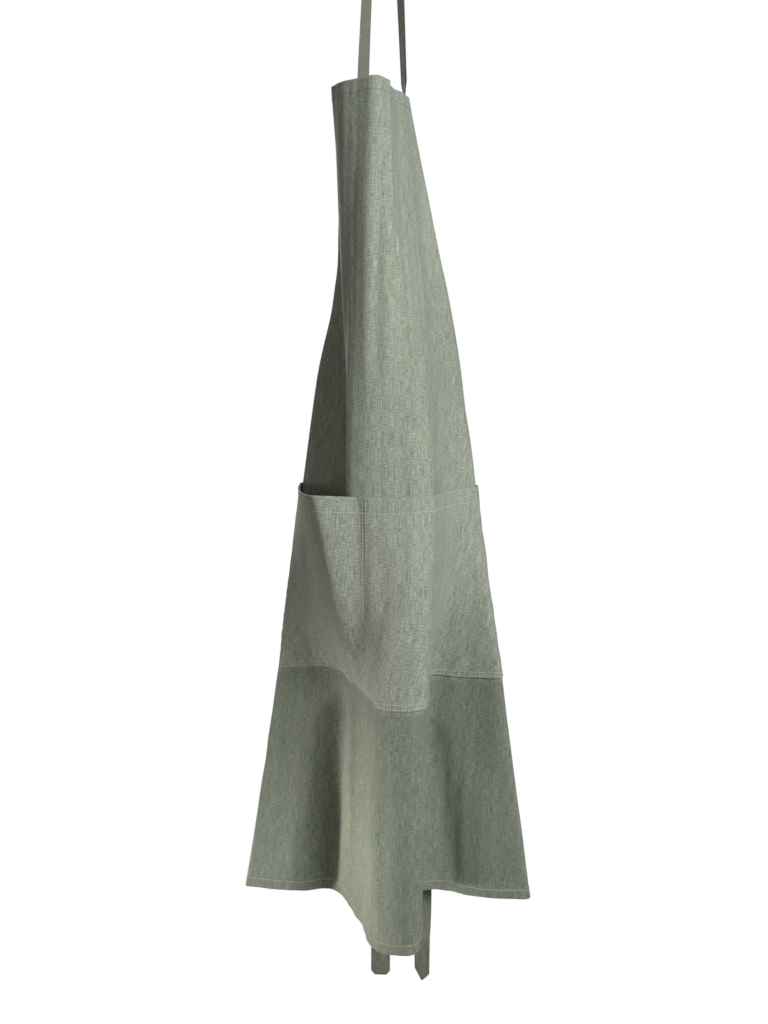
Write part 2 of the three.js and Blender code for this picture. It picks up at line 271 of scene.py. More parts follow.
def fold_points(line, downs):
    """Points of a fold at distances down the cloth.

    A fold ends higher the more it slants, but BIAS_GIVE of the slant doesn't shorten it.
    """
    line = np.array(line, float)
    dense = np.linspace(0, HEM_DOWN, HEM_DOWN // 2 + 1)
    x, y = along_fold(line, dense, 1), along_fold(line, dense, 2)
    fall = np.sqrt(np.diff(dense) ** 2 - (1 - BIAS_GIVE) * (np.diff(x) ** 2 + np.diff(y) ** 2))
    z = BIB_TOP_Z - np.concatenate([[0], np.cumsum(fall)])
    places = [along_fold(line, downs, 1), along_fold(line, downs, 2), np.interp(downs, dense, z)]
    return np.stack(places, 1)


def smooth_sections(points):
    """Centripetal Catmull-Rom curves through each row of points, with FOLD_SAMPLES steps a span."""
    first = 2 * points[:, :1] - points[:, 1:2]
    last = 2 * points[:, -1:] - points[:, -2:-1]
    p = np.concatenate([first, points, last], 1)
    gaps = np.maximum(np.linalg.norm(np.diff(p, axis=1), axis=2) ** 0.5, 1e-6)[..., None]
    t = np.arange(FOLD_SAMPLES) / FOLD_SAMPLES
    h00, h10 = 2 * t**3 - 3 * t**2 + 1, t**3 - 2 * t**2 + t
    h01, h11 = 3 * t**2 - 2 * t**3, t**3 - t**2
    pieces = []
    for k in range(points.shape[1] - 1):
        p0, p1, p2, p3 = p[:, k], p[:, k + 1], p[:, k + 2], p[:, k + 3]
        d0, d1, d2 = gaps[:, k], gaps[:, k + 1], gaps[:, k + 2]
        m1 = ((p1 - p0) / d0 - (p2 - p0) / (d0 + d1) + (p2 - p1) / d1) * d1
        m2 = ((p2 - p1) / d1 - (p3 - p1) / (d1 + d2) + (p3 - p2) / d2) * d1
        terms = [(h00, p1), (h10, m1), (h01, p2), (h11, m2)]
        pieces.append(sum(h[None, :, None] * q[:, None, :] for h, q in terms))
    pieces.append(points[:, -1:])
    return np.concatenate(pieces, 1)


def lattice_noise(u, v, size_u, size_v, seed):
    """Smooth noise from -1 to 1 over (u, v), with features of about the given sizes."""
    grid = np.random.default_rng(seed).uniform(-1, 1, LATTICE)
    a, b = u / size_u + LATTICE_SHIFT, v / size_v + LATTICE_SHIFT
    i, j = np.floor(a).astype(int), np.floor(b).astype(int)
    f, g = a - i, b - j
    f, g = f * f * (3 - 2 * f), g * g * (3 - 2 * g)

    def at(di, dj):
        return grid[(i + di) % LATTICE[0], (j + dj) % LATTICE[1]]

    upper = at(0, 0) * (1 - f) + at(1, 0) * f
    lower = at(0, 1) * (1 - f) + at(1, 1) * f
    return upper * (1 - g) + lower * g


def relief_noise(u, down, kind):
    """Noise of one kind of relief: (height, size across, size down, seed)."""
    height, size_across, size_down, seed = kind
    return height * lattice_noise(u, down, size_across, size_down, seed)


def bump_between(value, start, end, edge):
    """1 between start and end, fading to 0 over edge at both."""
    rise = np.clip((value - start) / edge, 0, 1)
    fall = np.clip((end - value) / edge, 0, 1)
    return rise * rise * (3 - 2 * rise) * fall * fall * (3 - 2 * fall)


def relief(u, across, down):
    """How far the hanging cloth stands out from its large folds, in millimetres."""
    total = sum(relief_noise(u, down, kind) for kind in [*STREAKS, DENTS])
    near_hem = np.clip((down - HEM_RIPPLE_FROM) / HEM_RIPPLE_RISE, 0, 1)
    total = total + relief_noise(u, down, HEM_RIPPLE) * near_hem**2
    for from_across, to_across, top, bottom, width, height in SOFT_FOLDS:
        share = np.clip((down - top) / (bottom - top), 0, 1)
        centre = from_across + (to_across - from_across) * share
        away = (across - centre) * HALF_WIDTH / width
        reach = bump_between(down, top, bottom, SOFT_FOLD_FADE)
        total = total + height * np.exp(-away * away) * reach
    for seam in (BIB_HEM, HEM_DOWN - BOTTOM_HEM, POCKET_BOTTOM_DOWN):
        near = np.exp(-((down - seam) / SEAM_PUCKER_REACH) ** 2)
        total = total + near * relief_noise(u, down, SEAM_PUCKER)
    return total


def rows_of_cloth(downs, acrosses):
    """Mid-surface points of the body cloth, arc lengths from the centre line, and fold places."""
    downs, acrosses = np.asarray(downs, float), np.asarray(acrosses, float)
    corners = np.stack([fold_points(line, downs) for line in FOLDS.values()], 1)
    curve = smooth_sections(corners)
    steps = np.linalg.norm(np.diff(curve, axis=1), axis=2)
    length = np.concatenate([np.zeros((len(downs), 1)), np.cumsum(steps, 1)], 1)
    names = list(FOLDS)
    at_fold = {name: length[:, FOLD_SAMPLES * k] for k, name in enumerate(names)}
    centre, total = at_fold["centre_line"], length[:, -1]
    side = np.where(acrosses[None] < 0, centre[:, None], (total - centre)[:, None])
    u = acrosses[None] * side
    points = np.empty((len(downs), len(acrosses), 3))
    for r in range(len(downs)):
        for axis in range(3):
            points[r, :, axis] = np.interp(u[r] + centre[r], length[r], curve[r, :, axis])
    place = {}
    for name in names:
        reached = at_fold[name] - centre
        place[name] = reached / np.where(reached < 0, centre, total - centre)
    return points, u, place


def normals_of(points):
    """Outward unit normals of a grid of points, which is away from the wall in front."""
    along = np.gradient(points, axis=1)
    up = -np.gradient(points, axis=0)
    normal = np.cross(along, up)
    return normal / np.maximum(np.linalg.norm(normal, axis=2, keepdims=True), 1e-9)


def body_surface(downs, acrosses):
    """Mid-surface of the body cloth with its small relief, and its arc lengths."""
    points, u, place = rows_of_cloth(downs, acrosses)
    down = np.asarray(downs, float)[:, None] * np.ones_like(u)
    across = np.asarray(acrosses, float)[None] * np.ones_like(u)
    calm = 1 - RELIEF_CALM * np.clip((np.abs(across) - CALM_FROM) / CALM_OVER, 0, 1)
    points = points + normals_of(points) * (relief(u, across, down) * calm)[..., None]
    return points, u, place


def bridge_row(row, smooth_row, row_place, everywhere, acrosses, lower):
    """Pulls one row of the pocket over its bridges. lower is the share of the way down the pocket."""
    for start, end, margin, share, bulge, peak, peak_move in BRIDGES:
        last = row_place[end]
        first = row_place[start] + (last - row_place[start]) * margin
        along = (acrosses - first) / (last - first)
        inside = (along > 0) & (along < 1)
        along = along[inside]
        begins, ends = [
            np.array([np.interp(place, everywhere, smooth_row[:, axis]) for axis in range(3)])
            for place in (first, last)
        ]
        chord = ends - begins
        out = np.array([chord[1], -chord[0], 0]) / np.hypot(chord[0], chord[1])
        top = peak + peak_move * lower**PEAK_FADE
        from_top = np.where(along < top, (top - along) / top, (along - top) / (1 - top))
        profile = np.cos(np.pi / 2 * from_top) ** np.where(along < top, 1, 2)
        swell = bulge * (1 - lower) ** BULGE_FADE * profile
        straight = begins + chord * along[:, None]
        row[inside] += (straight - row[inside]) * share * (1 - lower**2) + out * swell[:, None]


def pocket_lift(u, lower, acrosses):
    """How far the pocket stands off its bridged shape, in millimetres."""
    away = np.abs(acrosses)
    puffed = 0.5 + 0.5 * relief_noise(u, 700 + 200 * lower, PUFF_NOISE)
    sagged = 0.5 + 0.5 * relief_noise(u, 200 * lower, SAG_NOISE)
    middle = np.sin(np.pi * lower)
    gape = POCKET_GAPE * (1 - lower) ** 2 * np.sin(np.pi * np.clip(away / GAPE_REACH, 0, 1)) ** 2
    puff = POCKET_PUFF * puffed * middle * np.clip(away / PUFF_FADE, 0, 1)
    sag = POCKET_SAG * sagged * np.clip(away / SAG_FADE, 0, 1)
    return POCKET_OFFSET + gape + puff + sag * (0.3 + 0.7 * middle)


def pocket_surface(downs, acrosses):
    """Mid-surface of the pocket cloth: on the body, but pulled straight over each bridge."""
    points, u, place = body_surface(downs, acrosses)
    acrosses = np.asarray(acrosses, float)
    lower = (np.asarray(downs, float) - POCKET_TOP_DOWN) / (POCKET_BOTTOM_DOWN - POCKET_TOP_DOWN)
    lower = np.clip(lower, 0, 1)
    everywhere = np.linspace(-1, 1, BODY_COLUMNS + 1)
    smooth = rows_of_cloth(downs, everywhere)[0]
    for r, share in enumerate(lower):
        row_place = {name: at[r] for name, at in place.items()}
        bridge_row(points[r], smooth[r], row_place, everywhere, acrosses, share)
    lift = pocket_lift(u, lower[:, None], acrosses[None])
    return points + normals_of(points) * lift[..., None], u, place


# ---------------------------------------------------------------- meshes

def new_object(name, vertices, faces, material, uv=None):
    """A smooth-shaded mesh object from vertices in millimetres, with one (u, v) in metres a vertex."""
    mesh = bpy.data.meshes.new(name)
    mesh.from_pydata((np.asarray(vertices) * MM).tolist(), [], [tuple(f) for f in faces])
    mesh.polygons.foreach_set("use_smooth", [True] * len(mesh.polygons))
    if uv is not None:
        layer = mesh.uv_layers.new(name="UVMap")
        corner = np.empty(len(mesh.loops), np.int32)
        mesh.loops.foreach_get("vertex_index", corner)
        layer.data.foreach_set("uv", (np.asarray(uv)[corner] * MM).ravel())
    mesh.materials.append(material)
    mesh.update()
    obj = bpy.data.objects.new(name, mesh)
    bpy.context.scene.collection.objects.link(obj)
    return obj


def grid_faces(rows, columns, first=0, flip=False):
    """Quads of a grid of vertices, row by row, facing out of the front unless flipped."""
    j, i = np.mgrid[0:rows - 1, 0:columns - 1]
    a = first + j * columns + i
    quads = np.stack([a, a + columns, a + columns + 1, a + 1], -1).reshape(-1, 4)
    return quads[:, ::-1] if flip else quads


def rim_of(rows, columns):
    """The grid's outer vertices in order: down its left side, along the bottom, and back up."""
    left = [j * columns for j in range(rows - 1)]
    bottom = [(rows - 1) * columns + i for i in range(columns - 1)]
    right = [j * columns + columns - 1 for j in range(rows - 1, 0, -1)]
    top = list(range(columns - 1, 0, -1))
    return left + bottom + right + top


def rim_inside(rows, columns):
    """For each rim vertex in the same order, the vertex just inside it."""
    inner = []
    for index in rim_of(rows, columns):
        j, i = divmod(index, columns)
        inner.append(min(max(j, 1), rows - 2) * columns + min(max(i, 1), columns - 2))
    return inner


def cloth_object(name, points, u, downs, thick_front, thick_back, material):
    """A closed cloth of real thickness: a front, a back and a rounded rim."""
    rows, columns = points.shape[:2]
    normal = normals_of(points)
    front = (points + normal * thick_front[..., None]).reshape(-1, 3)
    back = (points - normal * thick_back[..., None]).reshape(-1, 3)
    rim, inner = rim_of(rows, columns), rim_inside(rows, columns)
    flat = points.reshape(-1, 3)
    outward = flat[rim] - flat[inner]
    outward /= np.maximum(np.linalg.norm(outward, axis=1, keepdims=True), 1e-9)
    middle = (front[rim] + back[rim]) / 2 + outward * 0.5
    vertices = np.concatenate([front, back, middle])
    count = rows * columns
    faces = [*grid_faces(rows, columns), *grid_faces(rows, columns, count, True)]
    for k, index in enumerate(rim):
        following = (k + 1) % len(rim)
        after, here, there = rim[following], 2 * count + k, 2 * count + following
        faces.append((after, index, here, there))
        faces.append((there, here, count + index, count + after))
    v = np.asarray(downs, float)[:, None] * np.ones_like(u)
    flat_uv = np.stack([u, v], -1).reshape(-1, 2)
    uv = np.concatenate([flat_uv, flat_uv, flat_uv[rim]])
    return new_object(name, vertices, faces, material, uv)


def graded_downs(top, bottom, fine_places):
    """Distances down the cloth every ROW_STEP, and every FINE_STEP round the fine places."""
    coarse = np.arange(top, bottom, ROW_STEP)
    reach = FINE_REACH + 0.1
    fine = [np.arange(place - FINE_REACH, place + reach, FINE_STEP) for place in fine_places]
    every = np.concatenate([coarse, *fine, [top, bottom]])
    every = np.unique(np.round(every[(every >= top) & (every <= bottom)], 2))
    keep = [every[0]]
    for value in every[1:-1]:
        if value - keep[-1] >= 0.7 * FINE_STEP and every[-1] - value >= 0.5 * FINE_STEP:
            keep.append(value)
    return np.array(keep + [every[-1]])


def hem_band(distance, width):
    """Thickness share of a turned hem at a distance from the edge, grooved along its stitches."""
    fold_share, fold_place, fold_width = HEM_FOLD
    groove_share, groove_inset, groove_width = HEM_GROOVE
    band = np.clip((width - distance) / HEM_SOFTNESS + 0.5, 0, 1)
    groove = np.exp(-((distance - width + groove_inset) / groove_width) ** 2)
    fold = np.exp(-((distance - fold_place) / fold_width) ** 2)
    return band * (1 + fold_share * fold) - groove_share * groove


# ---------------------------------------------------------------- stitching

def unit(vector):
    """The vector at length 1."""
    return vector / max(np.linalg.norm(vector), 1e-9)


def point_at(places, points, place):
    """The point at one place along a line."""
    return np.array([np.interp(place, places, points[:, axis]) for axis in range(3)])


def one_stitch(start, end, up, first):
    """Vertices and faces of one thread stitch, whose first vertex has the index first."""
    middle = (start + end) / 2
    forward = unit(end - start)
    up = unit(up - forward * (up @ forward))
    side = np.cross(forward, up)
    vertices, faces = [], []
    for along, size, height in STITCH_RINGS:
        rise = height * STITCH_RADIUS * 2
        centre = middle + forward * along * STITCH_LENGTH + up * rise
        for q in range(STITCH_SIDES):
            angle = 2 * math.pi * q / STITCH_SIDES
            spoke = side * math.cos(angle) + up * math.sin(angle)
            vertices.append(centre + spoke * STITCH_RADIUS * size)
    for ring in range(len(STITCH_RINGS) - 1):
        for q in range(STITCH_SIDES):
            a = first + ring * STITCH_SIDES + q
            b = first + ring * STITCH_SIDES + (q + 1) % STITCH_SIDES
            faces.append((a, b, b + STITCH_SIDES, a + STITCH_SIDES))
    faces.append(tuple(first + q for q in reversed(range(STITCH_SIDES))))
    last = first + (len(STITCH_RINGS) - 1) * STITCH_SIDES
    faces.append(tuple(last + q for q in range(STITCH_SIDES)))
    return vertices, faces


def stitches_along(points, normals):
    """Vertices and faces of a row of thread stitches that lie along a line on the cloth."""
    steps = np.linalg.norm(np.diff(points, axis=0), axis=1)
    length = np.concatenate([[0], np.cumsum(steps)])
    count = int(length[-1] / STITCH_PITCH)
    vertices, faces = [], []
    for k in range(count):
        middle = (k + 0.5) * length[-1] / count
        start = point_at(length, points, middle - STITCH_LENGTH / 2)
        end = point_at(length, points, middle + STITCH_LENGTH / 2)
        up = point_at(length, normals, middle)
        more, quads = one_stitch(start, end, up, len(vertices))
        vertices += more
        faces += quads
    return vertices, faces


def line_across(surface, down, reach):
    """A stitch line across the cloth from -reach to reach, lifted off it, and its normals."""
    acrosses = np.linspace(-reach, reach, ACROSS_POINTS)
    grid = surface([down - 1, down, down + 1], acrosses)[0]
    normal = normals_of(grid)[1]
    return grid[1] + normal * THREAD_LIFT, normal


def line_down(surface, top, bottom, across, aside=0):
    """A stitch line down the cloth, moved aside in millimetres, and its normals."""
    width = 2 / HALF_WIDTH
    downs = np.linspace(top, bottom, DOWN_POINTS)
    grid = surface(downs, [across - width, across, across + width])[0]
    normal = normals_of(grid)[:, 1]
    along = grid[:, 2] - grid[:, 0]
    along /= np.linalg.norm(along, axis=1, keepdims=True)
    return grid[:, 1] + along * aside + normal * THREAD_LIFT, normal


def stitching_object(name, lines, material):
    """One mesh object of the stitches along every (points, normals) line."""
    vertices, faces = [], []
    for points, normals in lines:
        more, quads = stitches_along(points, normals)
        faces += [tuple(index + len(vertices) for index in face) for face in quads]
        vertices += more
    uv = np.zeros((len(vertices), 2))
    return new_object(name, vertices, faces, material, uv)


# ---------------------------------------------------------------- materials

class Shader:
    """A short way to write a node material. Values given to its methods are sockets or numbers."""

    def __init__(self, name):
        self.material = bpy.data.materials.new(name)
        self.material.use_nodes = True
        self.tree = self.material.node_tree
        self.surface = self.tree.nodes["Principled BSDF"]

    def set(self, target, value):
        """Links a socket into the target, or gives it a plain value."""
        if isinstance(value, bpy.types.NodeSocket):
            self.tree.links.new(value, target)
        else:
            target.default_value = value

    def node(self, kind, output, inputs, **settings):
        """Adds a node and returns one of its outputs."""
        made = self.tree.nodes.new(kind)
        for key, value in settings.items():
            setattr(made, key, value)
        for key, value in inputs.items():
            self.set(made.inputs[key], value)
        return made.outputs[output]

    def math(self, operation, a, b=0.0):
        return self.node("ShaderNodeMath", 0, {0: a, 1: b}, operation=operation)

    def noise(self, vector, scale, detail=2.0, roughness=0.5):
        """Noise of features one over scale metres in size, unless the place is stretched."""
        inputs = {"Vector": vector, "Scale": scale, "Detail": detail, "Roughness": roughness}
        return self.node("ShaderNodeTexNoise", "Fac", inputs)

    def stretch(self, vector, x, y):
        """A place made x and y times larger, so that noise over it has that many features a metre."""
        inputs = {0: vector, 1: (x, y, 1.0)}
        return self.node("ShaderNodeVectorMath", 0, inputs, operation="MULTIPLY")

    def mix(self, factor, a, b, blend="MIX"):
        inputs = {0: factor, 6: a, 7: b}
        return self.node("ShaderNodeMix", 2, inputs, data_type="RGBA", blend_type=blend)

    def range(self, value, low, high, to_low, to_high):
        """The value moved from the range low to high into the range to_low to to_high."""
        inputs = {"Value": value, "From Min": low, "From Max": high}
        inputs.update({"To Min": to_low, "To Max": to_high})
        return self.node("ShaderNodeMapRange", 0, inputs)

    def bump(self, height, strength, distance):
        inputs = {"Height": height, "Strength": strength, "Distance": distance}
        self.set(self.surface.inputs["Normal"], self.node("ShaderNodeBump", "Normal", inputs))


def linear(red, green, blue):
    """A linear colour from sRGB values of 0 to 255."""
    def one(value):
        value /= 255
        return value / 12.92 if value <= 0.04045 else ((value + 0.055) / 1.055) ** 2.4
    return (one(red), one(green), one(blue), 1.0)


def weave_of(s, place, axes, thread_pitch):
    """Crossing warp and weft threads that wander a little, from -1 to 1."""
    wander = s.noise(s.stretch(place, 40, 40), 1.0, 2.0)
    drift = s.math("MULTIPLY", s.math("SUBTRACT", wander, 0.5), THREAD_WANDER)
    turn = math.pi / thread_pitch
    warp = s.math("SINE", s.math("MULTIPLY", s.math("ADD", axes[0], drift), turn))
    weft = s.math("SINE", s.math("MULTIPLY", s.math("ADD", axes[1], drift), turn))
    return s.math("MULTIPLY", warp, weft)


def threads_of(s, place):
    """Slubs of thread both down and across, with grain on top."""
    slub_down = s.noise(s.stretch(place, 1500, 60), 1.0, 2.0, 0.6)
    slub_across = s.noise(s.stretch(place, 170, 1500), 1.0, 2.0, 0.6)
    slubs = s.math("MULTIPLY", s.math("ADD", slub_down, slub_across), 0.5)
    grain = s.noise(s.stretch(place, 1300, 1300), 1.0, 1.0, 0.7)
    return s.math("ADD", slubs, s.math("MULTIPLY", grain, 0.45))


def tone_of(s, place, threads):
    """Light and dark of the cloth: its threads, long streaks and broad clouds."""
    streaks = s.noise(s.stretch(place, 160, 4), 1.0, 4.0, 0.62)
    cloud = s.noise(s.stretch(place, 9, 6), 1.0, 2.0, 0.5)
    fine = s.range(threads, 0.52, 0.93, 0.0, 1.0)
    broad = s.math("MULTIPLY", s.math("ADD", streaks, cloud), 0.5)
    return s.math("ADD", s.math("MULTIPLY", fine, 0.68), s.math("MULTIPLY", broad, 0.36))


def dashes_of(s, place):
    """Short light dashes of single thick threads."""
    noise_across = s.noise(s.stretch(place, 130, 1300), 1.0, 1.0)
    noise_down = s.noise(s.stretch(place, 1300, 130), 1.0, 1.0)
    across = s.range(noise_across, 0.66, 0.74, 0.0, 0.65)
    down = s.range(noise_down, 0.67, 0.75, 0.0, 0.5)
    return s.math("MAXIMUM", across, down)


def linen(name, dark, base, light, thread_pitch=0.0008, bump=0.5, skirt_shade=None):
    """Plain-weave linen of three tones, with its thread pitch in metres.

    The last argument multiplies the colour below the pocket's bottom seam: painted shade, since the
    cloth is one colour.
    """
    s = Shader(name)
    place = s.node("ShaderNodeTexCoord", "UV", {})
    parts = s.tree.nodes.new("ShaderNodeSeparateXYZ")
    s.set(parts.inputs[0], place)
    weave = weave_of(s, place, parts.outputs, thread_pitch)
    threads = threads_of(s, place)
    tone = tone_of(s, place, threads)
    lower = s.mix(s.range(tone, 0.25, 0.5, 0.0, 1.0), dark, base)
    colour = s.mix(s.range(tone, 0.5, 0.78, 0.0, 1.0), lower, light)
    colour = s.mix(dashes_of(s, place), colour, light)
    # Painted shade: the colour below the pocket's bottom seam is multiplied darker.
    if skirt_shade:
        below = s.range(parts.outputs[1], *SKIRT_SHADE_STEP, 0.0, 1.0)
        colour = s.mix(below, colour, s.mix(1.0, colour, skirt_shade, "MULTIPLY"))
    s.set(s.surface.inputs["Base Color"], colour)
    s.set(s.surface.inputs["Roughness"], s.range(tone, 0.2, 0.8, 0.97, 0.84))
    s.surface.inputs["Specular IOR Level"].default_value = 0.25
    s.surface.inputs["Sheen Weight"].default_value = 0.12
    s.surface.inputs["Sheen Roughness"].default_value = 0.6
    s.bump(s.math("ADD", s.math("MULTIPLY", weave, 0.1), threads), bump, 0.0006)
    return s.material


def thread_material(name, low, high):
    """Stitching thread with a faint twist of colour."""
    s = Shader(name)
    place = s.node("ShaderNodeTexCoord", "Object", {})
    twist = s.noise(place, 900.0, 2.0)
    s.set(s.surface.inputs["Base Color"], s.mix(twist, low, high))
    s.surface.inputs["Roughness"].default_value = 0.75
    s.surface.inputs["Specular IOR Level"].default_value = 0.3
    return s.material


def steel_material(name, low, high):
    """Brushed steel: fine scratches in its roughness and a faint bump."""
    s = Shader(name)
    place = s.node("ShaderNodeTexCoord", "Object", {})
    brush = s.noise(s.stretch(place, 900, 60), 1.0, 3.0, 0.6)
    cloud = s.noise(place, 55.0, 3.0, 0.55)
    tone = s.math("ADD", s.math("MULTIPLY", brush, 0.5), s.math("MULTIPLY", cloud, 0.5))
    s.set(s.surface.inputs["Base Color"], s.mix(tone, low, high))
    s.set(s.surface.inputs["Roughness"], s.range(tone, 0.3, 0.7, 0.4, 0.58))
    s.surface.inputs["Metallic"].default_value = 1.0
    s.bump(brush, 0.15, 0.0002)
    return s.material


# ---------------------------------------------------------------- tapes

def smooth_route(points, step):
    """Points about every step along a smooth curve through the given points."""
    points = np.array(points, float)
    curve = smooth_sections(points[None])[0]
    length = np.concatenate([[0], np.cumsum(np.linalg.norm(np.diff(curve, axis=0), axis=1))])
    places = np.linspace(0, length[-1], max(int(length[-1] / step), 8) + 1)
    at = np.stack([np.interp(places, length, curve[:, c]) for c in range(3)], 1)
    given = np.array([length[k * FOLD_SAMPLES] for k in range(len(points))])
    return at, places, given


def width_scale(places, ends):
    """Share of the full width along a tape, narrowed towards its ends."""
    scale = np.ones(len(places))
    for (reach, tip), from_end in zip(ends, (places, places[-1] - places)):
        if reach:
            narrowed = tip + (1 - tip) * np.clip(from_end / reach, 0, 1)
            scale = np.minimum(scale, narrowed)
    return scale


def tape_faces(count, around):
    """Faces of count rings of around vertices each, with both ends closed."""
    faces = []
    for r in range(count - 1):
        for q in range(around):
            a, b = r * around + q, r * around + (q + 1) % around
            faces.append((a, b, b + around, a + around))
    faces.append(tuple(range(around - 1, -1, -1)))
    faces.append(tuple((count - 1) * around + q for q in range(around)))
    return faces


def tape_object(name, route, directions, width, thickness, ends):
    """A flat woven tape along a route. Returns the piece, its centre line in metres and its seams.

    directions are the way its width points at each route point, and ends narrow it: (length,
    width share at the tip) for each end.
    """
    centres, places, given = smooth_route(route, TAPE_STEP)
    directions = np.array(directions, float)
    wide = np.stack([np.interp(places, given, directions[:, c]) for c in range(3)], 1)
    tangent = np.gradient(centres, axis=0)
    tangent /= np.linalg.norm(tangent, axis=1, keepdims=True)
    wide -= tangent * (wide * tangent).sum(1, keepdims=True)
    wide /= np.linalg.norm(wide, axis=1, keepdims=True)
    flat = np.cross(tangent, wide)
    half = (width / 2 * width_scale(places, ends))[:, None]
    s = np.linspace(-1, 1, TAPE_POINTS)
    rise = thickness / 2 * (0.82 + 0.18 * s**2) * np.where(np.abs(s) > 0.99, 0.45, 1.0)
    rise *= np.where(np.abs(np.abs(s) - TAPE_SEAM_PLACE) < 0.05, 0.78, 1.0)
    side = wide[:, None, :] * (s[None, :, None] * half[..., None])
    upper = centres[:, None] + side + flat[:, None, :] * rise[None, :, None]
    lower = centres[:, None] + side - flat[:, None, :] * rise[None, :, None]
    rings = np.concatenate([upper, lower[:, ::-1]], 1)
    count, around = rings.shape[:2]
    ring_u = np.concatenate([s, s[::-1] + 3]) * width / 2
    all_u, all_v = np.tile(ring_u, (count, 1)), np.tile(places[:, None], (1, around))
    uv = np.stack([all_u, all_v], -1).reshape(-1, 2)
    faces = tape_faces(count, around)
    piece = new_object(name, rings.reshape(-1, 3), faces, tape_shaded_linen, uv)
    seams = []
    for sign in (-1, 1):
        for face in (1, -1):
            line = centres + wide * (sign * TAPE_SEAM_PLACE * half)
            line = line + flat * (face * thickness * TAPE_SEAM_HEIGHT)
            seams.append((line, flat * face))
    return piece, centres * MM, seams


def turned(degrees):
    """A width direction, turned from +X towards -Y by an angle."""
    angle = math.radians(degrees)
    return (math.cos(angle), -math.sin(angle), 0.0)


# ---------------------------------------------------------------- the pieces

cloth_base = linen(
    "sage_linen",
    dark=linear(106, 111, 97),
    base=linear(145, 150, 136),
    light=linear(184, 188, 174),
    # Painted shade: about 27 % darker below the pocket's bottom seam.
    skirt_shade=(0.73, 0.74, 0.715, 1.0),
)
pocket_base = linen(
    "pocket_linen",
    dark=linear(106, 110, 96),
    base=linear(151, 155, 141),
    light=linear(194, 197, 183),
)
# The straps' and ties' linen: their own sage colour, painted about 0.6 times darker as shade that
# falls on them.
tape_shaded_linen = linen(
    "strap_linen_painted_shade",
    dark=linear(88, 90, 76),
    base=linear(116, 119, 105),
    light=linear(144, 146, 132),
    thread_pitch=0.0011,
    bump=0.6,
)
thread = thread_material("stitching_thread", linear(184, 186, 170), linear(222, 222, 206))
tonal_thread = thread_material("tonal_thread", linear(104, 108, 95), linear(134, 138, 124))

# The strap's route from the left bib corner over the hook to the right one: (x, y, z) in
# millimetres, and the way its width points.
LEFT_LEG = [
    ((-20.6, -50.2, BIB_TOP_Z - 17), (0.52, 0.85, 0)),
    ((-21.4, -49.6, BIB_TOP_Z - 2), (0.56, 0.83, 0)),
    ((-17.4, -48, -184), (0.46, 0.89, 0)),
    ((-12, -46, -90), (0.24, 0.97, 0)),
    ((-7.3, STRAP_Y, -14), (0, 1, 0)),
]
RIGHT_LEG = [
    ((7.3, STRAP_Y, -14), (0, 1, 0)),
    ((12, -45, -90), (-0.2, 0.98, 0)),
    ((16.8, -46, -184), (-0.32, 0.95, 0)),
    ((20.3, -47, BIB_TOP_Z + 14), (-0.24, 0.97, 0)),
    ((21.2, -47, BIB_TOP_Z - 2), (0.08, 1, 0)),
    ((21.0, -47.2, BIB_TOP_Z - 17), (0.17, 0.98, 0)),
]


def over_hook(degrees):
    """A point of the strap on the hook arm, and the way the strap's width points there."""
    angle = math.radians(degrees)
    place = (HOOK_RADIUS * math.cos(angle), STRAP_Y, HOOK_RADIUS * math.sin(angle))
    return place, (0, 1, 0)


strap_route = [*LEFT_LEG, *(over_hook(degrees) for degrees in range(180, -1, -30)), *RIGHT_LEG]
strap, strap_path, strap_seams = tape_object(
    "neck_strap_tape",
    [place for place, _ in strap_route],
    [direction for _, direction in strap_route],
    STRAP_WIDTH,
    STRAP_THICKNESS,
    (FULL_END, FULL_END),
)
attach(strap, "apron")
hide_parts("neck_strap")
strap_thread = stitching_object("neck_strap_stitching", strap_seams, tonal_thread)
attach(strap_thread, "apron")


def waist_tie(side, x, y, end_z, bends, tip):
    """A waist tie from its seam at the waist corner to its free end.

    bends are (z, how far y moves, degrees the width turns).
    """
    node = side + "_tie"
    name = side + "_waist_tie"
    top = BIB_TOP_Z - WAIST_DOWN + TIE_SEAM
    route = [(x, TIE_SEAM_Y, top), (x, (y + TIE_SEAM_Y) / 2, top - 40), (x, y, top - 90)]
    turns = [turned(0)] * 3
    for z, forward, degrees in bends:
        route.append((x, y + forward, z))
        turns.append(turned(degrees))
    route.append((x, y + bends[-1][1], end_z))
    turns.append(turned(bends[-1][2]))
    ends = (FULL_END, tip)
    piece, path, seams = tape_object(name, route, turns, TIE_WIDTH, TIE_THICKNESS, ends)
    sewn = stitching_object(name + "_stitching", seams, tonal_thread)
    for part in (piece, sewn):
        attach(part, node)
    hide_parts(node)


left_bends = [(-820, 0, 0), (-1000, 0, 0), (-1140, -0.4, 2), (-1215, -1.0, 4)]
waist_tie("left", -4, -6, LEFT_TIE_END, left_bends, (5, 0.62))
right_bends = [
    (-820, 0, 0), (-1000, 0, 0), (-1130, 0, 0), (-1165, -2, 12), (-1200, -7, 38), (-1240, -8, 42),
]
waist_tie("right", 44, -3.5, RIGHT_TIE_END, right_bends, (11, 0.1))


def cloth_columns():
    """Places across the cloth, closer together towards its two side edges."""
    even = np.linspace(-1, 1, BODY_COLUMNS + 1)
    edge = 1 - np.array(EDGE_COLUMNS)
    hems = [-SIDE_HEM_FROM, SIDE_HEM_FROM]
    every = np.unique(np.round(np.concatenate([even, edge, -edge, hems]), 4))
    keep = [every[0]]
    for value in every[1:-1]:
        if value - keep[-1] > COLUMN_GAP and 1 - value > COLUMN_GAP:
            keep.append(value)
    return np.array(keep + [1.0])


